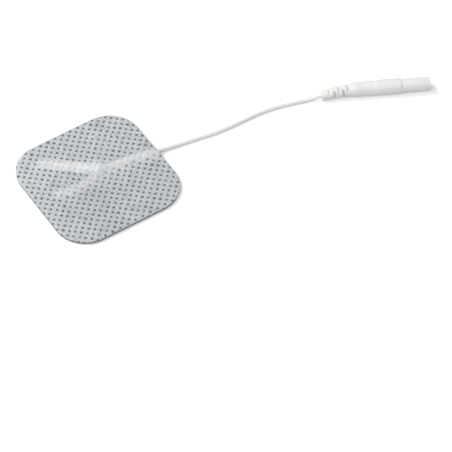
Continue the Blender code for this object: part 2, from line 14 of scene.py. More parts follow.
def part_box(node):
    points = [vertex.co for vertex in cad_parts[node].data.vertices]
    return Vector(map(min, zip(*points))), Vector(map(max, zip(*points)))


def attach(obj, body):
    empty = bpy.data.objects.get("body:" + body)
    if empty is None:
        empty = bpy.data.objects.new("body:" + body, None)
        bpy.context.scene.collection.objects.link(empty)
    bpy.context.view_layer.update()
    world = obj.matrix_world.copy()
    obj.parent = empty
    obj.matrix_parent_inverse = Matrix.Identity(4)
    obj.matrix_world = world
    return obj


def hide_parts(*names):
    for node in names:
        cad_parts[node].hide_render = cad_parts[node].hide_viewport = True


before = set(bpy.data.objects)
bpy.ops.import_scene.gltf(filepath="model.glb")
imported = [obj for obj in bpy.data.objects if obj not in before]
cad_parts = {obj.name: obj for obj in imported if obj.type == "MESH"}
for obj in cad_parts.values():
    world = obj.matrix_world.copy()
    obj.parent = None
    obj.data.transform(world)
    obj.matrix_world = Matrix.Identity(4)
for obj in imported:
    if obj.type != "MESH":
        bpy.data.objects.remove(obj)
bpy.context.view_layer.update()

MM = 0.001

# Pad: outline and the levels of its layers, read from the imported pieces
PAD_SIDE = 50.0 * MM
CORNER_RADIUS = 12.3 * MM
GEL_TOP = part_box("hydrogel_pad")[1].z
FILM_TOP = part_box("carbon_film")[1].z
FILM_THICKNESS = 0.10 * MM
FABRIC_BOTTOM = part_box("fabric_backing")[0].z
FABRIC_THICKNESS = 0.35 * MM

# Sheets: the cell and the wall that film and gel start with before their heights are set, the cuts
# round a corner and along the gel's side, and how the gel's edges are rounded and its side bulges
SHEET_CELL = 0.5 * MM
ROUGH_WALL = 1.0 * MM
CORNER_CUTS = 8
GEL_WALL_CUTS = 7
GEL_EDGE_ROUND = 0.16 * MM
GEL_BULGE = 0.10 * MM

# Bond points of the nonwoven, in staggered rows a little askew to the pad's edges: the radius of
# the pressed floor and of its rim, how far out the dark shows, and the rings of each cell's mesh
DOT_PITCH_X = 3.195 * MM
DOT_PITCH_Y = 3.014 * MM
DOT_SKEW = math.radians(1.48)
DOT_SHIFT = (0.52 * MM, 0.01 * MM)
DOT_FLOOR = 0.43 * MM
DOT_RIM = 0.63 * MM
DOT_DARK_FROM = 0.8 * DOT_FLOOR
DOT_DARK_TO = 1.04 * DOT_RIM
DOT_DEPTH = 0.16 * MM
PUFF = 0.11 * MM
PUFF_REACH = 0.9 * MM
CELL_CUTS = 8
RING_RADII = (0.0, 0.13 * MM, DOT_FLOOR, DOT_RIM, 0.68 * MM)

# How the bond points differ: size, stretch, turn with its spread, place, and darkness
DOT_SEED = 5
DOT_SIZES = (0.88, 1.12)
DOT_STRETCH = 0.26
DOT_TURN = (math.radians(20), math.radians(38))
DOT_SCATTER = 0.07 * MM
DOT_DARKNESS = (0.82, 1.0)

# Nonwoven as a whole: its cut edge, its low waves, and painted light, a paleness that grows towards
# the far side and the left side; each of those is what it adds, and from where to where
CUT_EDGE_WIDTH = 0.5 * MM
CUT_EDGE_DROP = 0.10 * MM
WAVE_HEIGHT = 0.035 * MM
WAVE_REACH_X = 3.1 * MM
WAVE_REACH_Y = 3.7 * MM
CLOTH_TONE = 0.985
FAR_PAINTED_LIGHT = (0.08, -6.0 * MM, 14.0 * MM)
LEFT_PAINTED_LIGHT = (0.09, -10.0 * MM, -22.0 * MM)

# Lead: its route in millimetres, x and y under the back, then x, y and z to the connector
LEAD_DIAMETER = 1.4 * MM
LEAD_HEIGHT = 1.30 * MM
LEAD_SPACING = 0.6 * MM
LEAD_PAST_EDGE = 6 * MM
LEAD_IN_PAD = [(3.2, 2.75), (6.5, 2.25), (10.5, 1.6), (15.0, 0.85), (20.0, -0.06), (24.5, -0.93)]
FREE_LEAD = [
    (25.9, -1.19, 1.28), (29.05, -1.64, 1.02), (32.15, -2.1, 0.82), (36.2, -2.74, 0.72),
    (40.3, -3.42, 0.70), (47.5, -4.66, 0.70), (54.1, -5.2, 0.70), (61.6, -5.34, 0.70),
    (67.1, -5.58, 0.70), (72.6, -6.32, 0.70), (77.95, -7.65, 0.71), (81.25, -8.6, 0.74),
    (84.4, -9.6, 0.86), (86.3, -10.24, 1.12),
]
STRAIGHT_LEAD_IN = 1.6 * MM

# Unevenness of its jacket: shares of the radius, and steps along the route
JACKET_WAVES = ((0.006, 0.37), (0.004, 1.13))

# Groove that the lead presses into film and gel: depth, half-widths of its floor and foot, and its end
LEAD_SINK = 0.50 * MM
SINK_FLAT = 0.62 * MM
SINK_FOOT = 1.60 * MM
SINK_RUN_OUT = 1.8 * MM

# Bundles of strands under the back
LONG_STRANDS_TIP = (-13.0 * MM, 15.7 * MM)
LONG_STRANDS_BOW = 0.35 * MM
SHORT_STRANDS_TIP = (-15.0 * MM, 1.1 * MM)
SHORT_STRANDS_BOW = -1.6 * MM
STRAND_WIDTH = 0.90 * MM
STRAND_GAP = 0.35 * MM

# Ridge of the back over the lead and the strands: how high it lifts, half the width of its crown,
# and the power by which its limbs join, the higher the closer to the highest of them
RIDGE_JOIN = 4
LEAD_LIFT = 1.04 * MM
STRAND_LIFT = 0.64 * MM
TIP_LIFT = 0.44 * MM
LEAD_CROWN = 0.77 * MM
STRAND_CROWN = 0.54 * MM
LONG_TIP_CROWN = 1.56 * MM
SHORT_TIP_CROWN = 1.08 * MM

# Feet of the ridge beyond its crown, to the left and right of each limb as it runs from the fork
LEAD_FEET = (1.35 * MM, 2.7 * MM)
LONG_FEET = (2.3 * MM, 1.45 * MM)
SHORT_FEET = (1.8 * MM, 1.45 * MM)

# How pale the ridge looks: partly where it stands clear of the black film, and partly painted light,
# as each slope is painted paler or darker to even out the ridge's own light and shade. Each table
# gives that on its crown, then on its left slope and how far out, and the same on its right.
# CLEAR_HOLDS is the share of that reach before it falls off, and the fades are what it loses at the
# fork and at the far end, within FADE_REACH of both
CROWN_TO_SLOPE = 1.2 * MM
CLEAR_HOLDS = 0.3
LEAD_CLEAR_AND_PAINTED_LIGHT = (0.66, 0.30, 2.3 * MM, 0.64, 5.0 * MM)
LONG_CLEAR_AND_PAINTED_LIGHT = (0.92, 0.85, 3.2 * MM, 1.0, 3.7 * MM)
SHORT_CLEAR_AND_PAINTED_LIGHT = (0.55, 0.75, 3.6 * MM, 0.45, 2.4 * MM)
LEAD_FADES = (0.0, 0.0)
LONG_FADES = (0.22, 0.15)
SHORT_FADES = (0.30, 0.30)
FADE_REACH = 0.3

# How much of the bond points the ridge hides: at the fork and at the limb's far end, then how far
# out at both. The second reach holds from HIDE_SHARE of the limb on, and HIDE_HOLDS is the share of
# the reach before the hiding falls off
HIDE_SHARE = 0.6
HIDE_HOLDS = 0.35
LEAD_HIDES = (0.72, 0.95, 3.6 * MM, 3.3 * MM)
LONG_HIDES = (0.88, 0.86, 4.4 * MM, 3.0 * MM)
SHORT_HIDES = (0.70, 0.58, 3.8 * MM, 2.8 * MM)

# Connector: its place, then stations along its axis from the tail, and radii
CONNECTOR_TAIL = (90.59 * MM, -10.61 * MM)
CONNECTOR_TURN = math.radians(-26.8)
CONNECTOR_LENGTH = 40.6 * MM
TAIL_RADIUS = 1.83 * MM
RIBS_START_RADIUS = 1.98 * MM
RIBS_END_RADIUS = 2.24 * MM
SHOULDER_RADIUS = 2.48 * MM
BODY_RADIUS = 2.56 * MM
BODY_END_RADIUS = 2.68 * MM
COLLAR_RADIUS = 2.86 * MM
NOSE_RADIUS = 2.55 * MM
TAIL_BLOCK_LENGTH = 2.70 * MM
SLOT_PITCH = 1.70 * MM
SLOT_WIDTH = 0.80 * MM
SLOT_COUNT = 5
SLOT_ROUND = 0.11 * MM
TAIL_ROUND = 0.25 * MM
SHOULDER_LENGTH = 2.2 * MM
GROOVE_WIDTH = 0.30 * MM
GROOVE_DEPTH = 0.13 * MM
GROOVE_LIP = 0.15 * MM
GROOVE_ROUND = 0.06 * MM
COLLAR_START = 20.2 * MM
COLLAR_LENGTH = 9.8 * MM
COLLAR_ROUND = 0.20 * MM
WEB_HALF = 0.92 * MM
SPIGOT_RADIUS = 1.92 * MM
SPIGOT_START = 16.5 * MM
CONTACT_RADIUS = 1.45 * MM
MOUTH_RADIUS = 1.20 * MM
MOUTH_LIP = 0.80 * MM
CRIMP_RADIUS = 0.90 * MM
LEAD_END_STATION = 14.7 * MM
FIT_GAP = 0.05 * MM
TURNED_SIDES = 96
ROUNDING_STEPS = 4

# Edges that bend less than this are shaded smooth
SMOOTH_BELOW = math.radians(40)
CLOTH_SMOOTH_BELOW = math.radians(50)

# Strain relief as it lies, bent evenly between its tail and this station, to the side and down
FLEX_END = 13.5 * MM
FLEX_ANGLE = math.radians(12.5)
FLEX_ROLL = math.radians(39.0)

# Colours of the finishes
CLOTH_GREY = (0.525, 0.548, 0.570, 1.0)
RAISED_CLOTH = (0.760, 0.762, 0.772, 1.0)
PRESSED_CLOTH = (0.072, 0.080, 0.090, 1.0)
GEL_GREY = (0.50, 0.54, 0.54, 1.0)
GEL_PALE = (0.62, 0.66, 0.65, 1.0)
JACKET_WHITE = (0.85, 0.85, 0.835, 1.0)
BOOT_WHITE = (0.845, 0.85, 0.835, 1.0)
HOUSING_WHITE = (0.825, 0.83, 0.825, 1.0)
NICKEL = (0.72, 0.70, 0.64, 1.0)
TINNED_COPPER = (0.60, 0.58, 0.54, 1.0)

# Camera of the photograph: where its middle looks on the table, and from where
CAMERA_AIM = Vector((27.5, -43.12, 0.0)) * MM
CAMERA_DISTANCE = 1.0758
CAMERA_TURN = math.radians(-33.47)
CAMERA_ELEVATION = math.radians(51.22)
CAMERA_ROLL = math.radians(0.52)
CAMERA_LENS = 238.9
CAMERA_SENSOR = 36.0

# Light: even surroundings, a key lamp from the upper left of the picture and a fill from its lower left;
# each lamp is its level, turn, elevation and spread. The table is less pale to what it lights than
# to the camera
AMBIENT_LEVEL = 0.42
KEY = (0.30, math.radians(128), math.radians(48), math.radians(24))
FILL = (0.30, math.radians(200), math.radians(52), math.radians(44))
TABLE_BOUNCE = 0.66
TABLE_GLOW = 0.15


def look_from(turn, elevation, roll, distance, aim):
    """Matrix of a camera that looks at aim; at turn 0 it looks along +Y."""
    back = Vector((math.sin(turn) * math.cos(elevation), -math.cos(turn) * math.cos(elevation),
                   math.sin(elevation)))
    facing = (-back).to_track_quat("-Z", "Y").to_matrix().to_4x4()
    return Matrix.Translation(aim + back * distance) @ facing @ Matrix.Rotation(roll, 4, "Z")


def make_camera():
    data = bpy.data.cameras.new("camera")
    data.lens = CAMERA_LENS
    data.sensor_width = CAMERA_SENSOR
    data.clip_start = 0.01
    data.clip_end = 20
    camera = bpy.data.objects.new("camera", data)
    camera.matrix_world = look_from(CAMERA_TURN, CAMERA_ELEVATION, CAMERA_ROLL, CAMERA_DISTANCE,
                                    CAMERA_AIM)
    bpy.context.scene.collection.objects.link(camera)
    bpy.context.scene.camera = camera


class Out:
    """An output of a node. Arithmetic on it adds Math nodes."""

    def __init__(self, look, socket):
        self.look = look
        self.socket = socket

    def math(self, operation, *values):
        return self.look.node("ShaderNodeMath", {"operation": operation}, list(values))

    def __add__(self, other):
        return self.math("ADD", self, other)

    def __sub__(self, other):
        return self.math("SUBTRACT", self, other)

    def __rsub__(self, other):
        return self.math("SUBTRACT", other, self)

    def __mul__(self, other):
        return self.math("MULTIPLY", self, other)

    __radd__ = __add__
    __rmul__ = __mul__

    def largest(self, other):
        return self.math("MAXIMUM", self, other)

    def smooth(self, low, high):
        """0 below low, 1 above high, and a soft step between."""
        sockets = {"Value": self, "From Min": low, "From Max": high}
        return self.look.node("ShaderNodeMapRange", {"interpolation_type": "SMOOTHSTEP"}, sockets)


class Look:
    """A material: node() adds any node, and surface is its Principled shader."""

    def __init__(self, name, **constants):
        self.material = bpy.data.materials.new(name)
        self.material.use_nodes = True
        self.tree = self.material.node_tree
        self.surface = self.tree.nodes["Principled BSDF"]
        for socket, value in constants.items():
            self.set(socket.replace("_", " "), value)

    def node(self, kind, settings=None, sockets=None, output=0):
        """Adds a node. Its settings come first, then its sockets by name or in order."""
        made = self.tree.nodes.new(kind)
        for key, value in (settings or {}).items():
            setattr(made, key, value)
        pairs = sockets.items() if isinstance(sockets, dict) else enumerate(sockets or [])
        for key, value in pairs:
            self.join(value, made.inputs[key])
        return Out(self, made.outputs[output])

    def join(self, value, socket):
        if isinstance(value, Out):
            self.tree.links.new(value.socket, socket)
        else:
            socket.default_value = value

    def set(self, socket, value):
        self.join(value, self.surface.inputs[socket])

    def attribute(self, name):
        return self.node("ShaderNodeAttribute", {"attribute_name": name}, output="Fac")

    def mapped(self, size, turn=(0, 0, 0)):
        """Object coordinates turned, then stretched to the given length along each axis."""
        place = self.node("ShaderNodeTexCoord", output="Object")
        sockets = {"Vector": place, "Rotation": turn, "Scale": size}
        return self.node("ShaderNodeMapping", {"vector_type": "TEXTURE"}, sockets)

    def grain(self, size, detail=2.0, roughness=0.5, turn=(0, 0, 0)):
        """Noise from 0 to 1 whose lumps are about size long on each axis."""
        size = size if hasattr(size, "__len__") else (size,) * 3
        sockets = {"Vector": self.mapped(size, turn), "Scale": 1.0, "Detail": detail,
                   "Roughness": roughness}
        return self.node("ShaderNodeTexNoise", None, sockets)

    def blend(self, share, first, second):
        """Colour between two, by a share that may be an output."""
        sockets = {0: share, 6: first, 7: second}
        return self.node("ShaderNodeMix", {"data_type": "RGBA"}, sockets, output=2)

    def relief(self, height, distance, strength):
        """Bump from a height between 0 and 1 that stands for the given distance."""
        sockets = {"Height": height, "Distance": distance, "Strength": strength}
        return self.node("ShaderNodeBump", None, sockets)


def grey(level, warm=0.0):
    """Opaque grey, a little yellower with warm above 0 and bluer below."""
    return (level * (1 + warm), level, level * (1 - warm), 1.0)


def nonwoven_look():
    """Matted fibres; at a bond point they are pressed clear, and the black film shows through."""
    look = Look("nonwoven", Sheen_Weight=0.15, Sheen_Roughness=0.6)
    bond = look.attribute("bond")
    clear = look.attribute("clear")
    dark = look.attribute("dark")
    tone_and_painted_light = look.attribute("tone_and_painted_light")

    fibres = None
    for k, degrees in enumerate((8, 52, 97, 141)):
        streak = look.grain((1.5 * MM, 0.075 * MM, 1.0 * MM), 1.0, 0.4, (0, 0, math.radians(degrees)))
        line = streak.smooth(0.50, 0.66)
        fibres = line if fibres is None else fibres.largest(line)
    mottle = look.grain(0.72 * MM, 2.0, 0.6)
    patches = look.grain(2.4 * MM, 1.0, 0.5)
    cloud = look.grain(6.0 * MM, 2.0, 0.5)

    # clear carries the paleness of fabric lifted off the black film together with painted light on the
    # ridge's slopes
    clear = clear * (0.70 + 0.64 * patches)
    cloth = look.blend(clear, CLOTH_GREY, RAISED_CLOTH)
    # The painted tone is the cloth's level with painted light that makes it paler towards the far side
    # and the left side
    shade = tone_and_painted_light * (0.79 + 0.12 * fibres + (1.06 - 0.85 * clear) * (mottle - 0.5) + 0.30 * cloud)
    shaded = look.node("ShaderNodeVectorMath", {"operation": "SCALE"}, {"Vector": cloth, "Scale": shade})
    pressed = bond * dark * (0.86 + 0.28 * mottle)
    look.set("Base Color", look.blend(pressed, shaded, PRESSED_CLOTH))
    look.set("Roughness", 0.93 - 0.30 * bond)
    height = 0.5 * fibres + 0.5 * mottle
    look.set("Normal", look.relief(height, 0.07 * MM, 0.7))
    return look.material


def film_look():
    """Matt black carbon-loaded film."""
    look = Look("carbon_film", Base_Color=grey(0.028, -0.05))
    grain = look.grain(0.12 * MM, 3.0)
    look.set("Roughness", 0.42 + 0.2 * grain)
    look.set("Normal", look.relief(grain, 0.01 * MM, 0.6))
    return look.material


def gel_look():
    """Clear tacky gel, faintly grey, with the fine unevenness of a cast face."""
    look = Look("hydrogel", Transmission_Weight=0.55, IOR=1.38, Coat_Weight=0.4, Coat_Roughness=0.08)
    wave = look.grain(1.6 * MM, 2.0)
    fine = look.grain(0.25 * MM, 2.0)
    look.set("Base Color", look.blend(wave, GEL_GREY, GEL_PALE))
    look.set("Roughness", 0.10 + 0.14 * fine)
    look.set("Normal", look.relief(0.7 * wave + 0.3 * fine, 0.05 * MM, 0.5))
    return look.material


def plastic_look(name, colour, roughness, grain_size, subsurface):
    """Off-white moulded plastic: slight clouding, fine spark-eroded grain and a few rubbed spots."""
    look = Look(name, Subsurface_Weight=subsurface, Subsurface_Scale=0.5 * MM,
                Subsurface_Radius=(1.0, 0.9, 0.75), IOR=1.5)
    cloud = look.grain(4.0 * MM, 2.0)
    grain = look.grain(grain_size, 2.0)
    rubbed = look.grain(1.8 * MM, 4.0, 0.7).smooth(0.56, 0.72)
    darker = tuple(0.94 * c for c in colour[:3]) + (1.0,)
    look.set("Base Color", look.blend(cloud, darker, colour))
    look.set("Roughness", roughness + 0.10 * grain - 0.10 * rubbed)
    look.set("Normal", look.relief(grain, 0.012 * MM, 0.35))
    return look.material


def metal_look(name, colour, roughness, size):
    """Metal with fine marks drawn out along one axis."""
    look = Look(name, Metallic=1.0)
    marks = look.grain(size, 2.0, 0.5, (0, 0, CONNECTOR_TURN))
    darker = tuple(0.8 * c for c in colour[:3]) + (1.0,)
    look.set("Base Color", look.blend(marks, darker, colour))
    look.set("Roughness", roughness + 0.2 * marks)
    look.set("Normal", look.relief(marks, 0.02 * MM, 0.5))
    return look.material


def deselect():
    if bpy.context.object and bpy.context.object.mode != "OBJECT":
        bpy.ops.object.mode_set(mode="OBJECT")
    bpy.ops.object.select_all(action="DESELECT")


def edit(select="SELECT"):
    bpy.ops.object.mode_set(mode="EDIT")
    bpy.ops.mesh.select_all(action=select)


def points_of(piece):
    spots = np.empty(len(piece.data.vertices) * 3)
    piece.data.vertices.foreach_get("co", spots)
    return spots.reshape(-1, 3)


def move_points(piece, spots):
    piece.data.vertices.foreach_set("co", spots.ravel())
    piece.data.update()


def paint(piece, name, values):
    """Stores one number for each point of a piece, for its material to read."""
    layer = piece.data.attributes.new(name, "FLOAT", "POINT")
    layer.data.foreach_set("value", np.asarray(values, np.float32))


def finish_piece(piece, name, look, smooth_angle, slot, *nodes):
    """Names a piece, gives it its finish and lets it stand for its nodes of the model."""
    deselect()
    piece.name = name
    piece.data.name = name
    piece.select_set(True)
    bpy.context.view_layer.objects.active = piece
    bpy.ops.object.shade_smooth_by_angle(angle=smooth_angle)
    piece.data.materials.clear()
    piece.data.materials.append(look)
    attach(piece, "root")
    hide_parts(*nodes)
    deselect()
    return piece


def smooth_step(t):
    t = np.clip(t, 0.0, 1.0)
    return t * t * (3 - 2 * t)


def falloff(share, start):
    """1 up to start, 0 from 1 on, and a soft step between."""
    return 1 - smooth_step((share - start) / (1 - start))


def smooth_path(points, spacing):
    """Evenly spaced points on a smooth curve through the given ones."""
    ends = [2 * points[0] - points[1], *points, 2 * points[-1] - points[-2]]
    fine = []
    steps = 24
    for a, b, c, d in zip(ends, ends[1:], ends[2:], ends[3:]):
        for k in range(steps):
            t = k / steps
            fine.append(0.5 * (2 * b + (c - a) * t + (2 * a - 5 * b + 4 * c - d) * t * t
                               + (3 * b - 3 * c + d - a) * t ** 3))
    fine.append(points[-1])
    reach = [0.0]
    for a, b in zip(fine, fine[1:]):
        reach.append(reach[-1] + (b - a).length)
    count = round(reach[-1] / spacing)
    goals = [reach[-1] * i / count for i in range(count + 1)]
    axes = [np.interp(goals, reach, [p[k] for p in fine]) for k in range(3)]
    return [Vector(p) for p in zip(*axes)]


def connector_matrix():
    """Local +Z runs from the connector's tail to its mouth, and local -X is up."""
    origin = Vector((*CONNECTOR_TAIL, COLLAR_RADIUS))
    return (Matrix.Translation(origin) @ Matrix.Rotation(CONNECTOR_TURN, 4, "Z")
            @ Matrix.Rotation(math.pi / 2, 4, "Y"))


def flexed(spots):
    """Bends places in the connector's own coordinates: an arc up to FLEX_END, then straight."""
    aside = np.array([math.sin(FLEX_ROLL), -math.cos(FLEX_ROLL)])
    radius = FLEX_END / FLEX_ANGLE
    back = FLEX_END - spots[:, 2]
    bent = np.clip(back, 0.0, FLEX_END)
    turn = bent / radius
    out = spots[:, :2] @ aside
    beyond = back - bent
    shift = (radius - out) * (1 - np.cos(turn)) + beyond * np.sin(turn)
    moved = spots.copy()
    moved[:, :2] += shift[:, None] * aside
    moved[:, 2] = FLEX_END - (radius - out) * np.sin(turn) - beyond * np.cos(turn)
    return moved


def lead_path(spacing):
    """Middle line of the lead, from the fork under the back to the crimp."""
    place = connector_matrix()
    points = [Vector((x * MM, y * MM, LEAD_HEIGHT)) for x, y in LEAD_IN_PAD]
    points += [Vector(p) * MM for p in FREE_LEAD]
    stations = [-STRAIGHT_LEAD_IN, *np.linspace(0.0, LEAD_END_STATION, 7)]
    points += [place @ Vector(p) for p in flexed(np.array([(0.0, 0.0, s) for s in stations]))]
    return smooth_path(points, spacing)


def make_lead(look):
    """Insulated lead, a tube along its route with the slight unevenness of a thin jacket."""
    path = lead_path(LEAD_SPACING)
    curve = bpy.data.curves.new("lead", "CURVE")
    curve.dimensions = "3D"
    line = curve.splines.new("POLY")
    line.points.add(len(path) - 1)
    for k, (spot, at) in enumerate(zip(line.points, path)):
        spot.co = (*at, 1.0)
        spot.radius = 1.0 + sum(share * math.sin(step * k) for share, step in JACKET_WAVES)
    curve.bevel_depth = LEAD_DIAMETER / 2
    curve.bevel_resolution = 10
    curve.use_fill_caps = True
    line.use_smooth = True
    lead = bpy.data.objects.new("lead", curve)
    bpy.context.scene.collection.objects.link(lead)
    curve.materials.append(look)
    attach(lead, "root")
    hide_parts("lead_wire")
    return lead


def distance_along(places, line):
    """For each place: its distance to a line, where along it from 0 to 1, and if it is on the left."""
    runs = np.linalg.norm(np.diff(line, axis=0), axis=1)
    starts = np.concatenate([[0.0], np.cumsum(runs)])
    best = np.full(len(places), np.inf)
    share = np.zeros(len(places))
    left = np.zeros(len(places), bool)
    for a, b, run, start in zip(line, line[1:], runs, starts):
        t = np.clip((places - a) @ (b - a) / run ** 2, 0.0, 1.0)
        gap = np.linalg.norm(places - a - t[:, None] * (b - a), axis=1)
        nearer = gap < best
        best[nearer] = gap[nearer]
        share[nearer] = (start + t[nearer] * run) / starts[-1]
        left[nearer] = ((places - a) @ np.array([a[1] - b[1], b[0] - a[0]]))[nearer] > 0
    return best, share, left


def lead_line():
    """Plan of the lead under the back, carried on a little past the pad's edge."""
    path = np.array([p[:2] for p in lead_path(1.0 * MM)])
    return path[path[:, 0] < PAD_SIDE / 2 + LEAD_PAST_EDGE]


def strand_line(tip, side, bow):
    """Plan of a bundle of strands, from beside the lead's end to its tip, slightly bowed."""
    fork, inward = (np.array(p) * MM for p in LEAD_IN_PAD[:2])
    ahead = (fork - inward) / np.linalg.norm(fork - inward)
    across = np.array([-ahead[1], ahead[0]]) * side
    start = fork + ahead * STRAND_GAP + across * (STRAND_WIDTH + STRAND_GAP) / 2
    end = np.array(tip)
    reach = (end - start) / np.linalg.norm(end - start)
    aside = np.array([reach[1], -reach[0]]) * side * bow
    share = np.linspace(0, 1, 13)[:, None]
    return start + (end - start) * share + aside * 4 * share * (1 - share)


def ridge(places):
    """For each place: how far the back is lifted, how pale it looks there, and how hidden its dots are.

    Of the limbs that reach a place, the lifts join softly, and the palest and the most hidden hold.
    """
    long_line = strand_line(LONG_STRANDS_TIP, -1, LONG_STRANDS_BOW)
    short_line = strand_line(SHORT_STRANDS_TIP, 1, SHORT_STRANDS_BOW)
    limbs = [
        (lead_line(), (LEAD_LIFT, LEAD_LIFT), (LEAD_CROWN, LEAD_CROWN),
         LEAD_FEET, LEAD_CLEAR_AND_PAINTED_LIGHT, LEAD_FADES, LEAD_HIDES),
        (long_line, (STRAND_LIFT, TIP_LIFT), (STRAND_CROWN, LONG_TIP_CROWN),
         LONG_FEET, LONG_CLEAR_AND_PAINTED_LIGHT, LONG_FADES, LONG_HIDES),
        (short_line, (STRAND_LIFT, TIP_LIFT), (STRAND_CROWN, SHORT_TIP_CROWN),
         SHORT_FEET, SHORT_CLEAR_AND_PAINTED_LIGHT, SHORT_FADES, SHORT_HIDES),
    ]
    total = np.zeros(len(places))
    clear = np.zeros(len(places))
    hidden = np.zeros(len(places))
    for line, lifts, crowns, feet, slopes, (fork_fade, tip_fade), hides in limbs:
        crown, left_slope, left_reach, right_slope, right_reach = slopes
        gap, at, left = distance_along(places, line)
        foot = np.where(left, *feet)
        rise = 1 - smooth_step((gap - np.interp(at, [0, 1], crowns)) / foot)
        total += (np.interp(at, [0, 1], lifts) * rise) ** RIDGE_JOIN
        # Painted light: the left and right slope levels paint a slope paler where the ridge's own shade
        # falls and darker where it is lit, on top of the paleness of fabric clear of the film
        slope = np.where(left, left_slope, right_slope)
        reach = np.where(left, left_reach, right_reach)
        level = crown + (slope - crown) * smooth_step(gap / CROWN_TO_SLOPE)
        level *= 1 - fork_fade * smooth_step(1 - at / FADE_REACH)
        level *= 1 - tip_fade * smooth_step(1 - (1 - at) / FADE_REACH)
        clear = np.maximum(clear, level * falloff(gap / reach, CLEAR_HOLDS))
        cover = np.interp(at, [0, 1], hides[:2])
        cover_reach = np.interp(at, [0, HIDE_SHARE], hides[2:])
        hidden = np.maximum(hidden, cover * falloff(gap / cover_reach, HIDE_HOLDS))
    return total ** (1 / RIDGE_JOIN), clear, hidden


def groove_share(places):
    """1 on the floor of the groove that the lead presses into film and gel, 0 beside it."""
    gap = distance_along(places, lead_line())[0]
    side = 1 - smooth_step((gap - SINK_FLAT) / (SINK_FOOT - SINK_FLAT))
    fork = np.array(LEAD_IN_PAD[0]) * MM
    inward = np.array(LEAD_IN_PAD[1]) * MM - fork
    before = -(places - fork) @ inward / np.linalg.norm(inward)
    return side * (1 - smooth_step(before / SINK_RUN_OUT))


def from_core(places):
    """For each place, the nearest point of the square between the corners' middles, and the way out."""
    flat = PAD_SIDE / 2 - CORNER_RADIUS
    core = np.clip(places, -flat, flat)
    away = places - core
    return core, away / np.maximum(np.linalg.norm(away, axis=1), 1e-9)[:, None]


def outside_by(places):
    """Distance outside the pad's outline, negative inside."""
    return np.linalg.norm(places - from_core(places)[0], axis=1) - CORNER_RADIUS


def die_cut(piece):
    """Cuts a flat sheet to the pad's outline with straight cuts, then rounds its corners exactly."""
    flat = PAD_SIDE / 2 - CORNER_RADIUS
    edit()
    for quarter in range(4):
        middle = Matrix.Rotation(math.pi / 2 * quarter, 3, "Z") @ Vector((flat, flat, 0))
        for k in range(CORNER_CUTS + 1):
            turn = math.pi / 2 * (k / (CORNER_CUTS + 1) + quarter)
            out = Vector((math.cos(turn), math.sin(turn), 0))
            bpy.ops.mesh.select_all(action="SELECT")
            bpy.ops.mesh.bisect(plane_co=middle + out * CORNER_RADIUS, plane_no=out,
                                clear_outer=True, threshold=1e-7)
    bpy.ops.object.mode_set(mode="OBJECT")
    spots = points_of(piece)
    plan = spots[:, :2]
    rim = np.zeros(len(spots), bool)
    counts = {}
    for face in piece.data.polygons:
        for key in face.edge_keys:
            counts[key] = counts.get(key, 0) + 1
    for (a, b), times in counts.items():
        if times == 1:
            rim[[a, b]] = True
    core, outward = from_core(plan)
    plan[rim] = (core + outward * CORNER_RADIUS)[rim]
    move_points(piece, spots)


def thicken(piece):
    """Gives a flat sheet a second side below it, and tells which points are on the upper one."""
    count = len(piece.data.vertices)
    wall = piece.modifiers.new("wall", "SOLIDIFY")
    wall.thickness = ROUGH_WALL
    wall.offset = -1
    deselect()
    piece.select_set(True)
    bpy.context.view_layer.objects.active = piece
    bpy.ops.object.modifier_apply(modifier="wall")
    upper = np.zeros(len(piece.data.vertices), bool)
    upper[:count] = True
    return upper


def dot_matrix():
    """Matrix from counts of dots along the two diagonals to places on the pad."""
    across, up = DOT_PITCH_X / 2, DOT_PITCH_Y / 2
    cosine, sine = math.cos(DOT_SKEW), math.sin(DOT_SKEW)
    return np.array([[cosine, -sine], [sine, cosine]]) @ np.array([[across, -across], [up, up]])


class Dots:
    """The bond points: each has its own size, oval shape, small shift and darkness."""

    def __init__(self, reach):
        draw = np.random.default_rng(DOT_SEED)
        side = 2 * reach + 1
        self.reach = reach
        self.matrix = dot_matrix()
        self.size = draw.uniform(*DOT_SIZES, (side, side))
        self.stretch = 1 + draw.uniform(0.0, DOT_STRETCH, (side, side))
        self.turn = draw.normal(*DOT_TURN, (side, side))
        self.shift = draw.uniform(-DOT_SCATTER, DOT_SCATTER, (side, side, 2))
        self.dark = draw.uniform(*DOT_DARKNESS, (side, side))

    def cells(self, counts):
        return tuple((np.round(counts).astype(int) + self.reach).T)

    def place(self, counts):
        return counts @ self.matrix.T + DOT_SHIFT

    def count(self, places):
        return (places - DOT_SHIFT) @ np.linalg.inv(self.matrix).T

    def oval(self, cell):
        """For each point's dot, the two half-axes as vectors, for a round dot of radius 1."""
        turn, stretch, size = self.turn[cell], np.sqrt(self.stretch[cell]), self.size[cell]
        long = np.stack([np.cos(turn), np.sin(turn)], 1) * (size * stretch)[:, None]
        short = np.stack([-np.sin(turn), np.cos(turn)], 1) * (size / stretch)[:, None]
        return long, short

    def radius(self, places):
        """Each place's distance from its dot's middle, as if that were round, and the dot's darkness."""
        counts = self.count(places)
        cell = self.cells(counts)
        middle = self.place(np.round(counts)) + self.shift[cell]
        long, short = self.oval(cell)
        from_middle = places - middle
        along = (from_middle * long).sum(1) / (long ** 2).sum(1)
        across = (from_middle * short).sum(1) / (short ** 2).sum(1)
        return np.hypot(along, across), self.dark[cell]

    def warp(self, counts):
        """Slides each cell's square grid so that its rings follow the dot, less so in its outer third."""
        whole = np.round(counts)
        within = (counts - whole) * 2
        ring = np.abs(within).max(1)
        cell = self.cells(counts)
        plain = self.place(counts)
        from_middle = plain - self.place(whole)
        facing = from_middle / np.maximum(np.linalg.norm(from_middle, axis=1), 1e-9)[:, None]
        radius = np.interp(ring, np.array([0, 1, 3, 5, 7]) / (CELL_CUTS + 1), RING_RADII)
        long, short = self.oval(cell)
        oval = self.place(whole) + self.shift[cell]
        oval = oval + radius[:, None] * (facing[:, :1] * long + facing[:, 1:] * short)
        keep = smooth_step(3 * ring - 2)[:, None]
        return oval * (1 - keep) + plain * keep


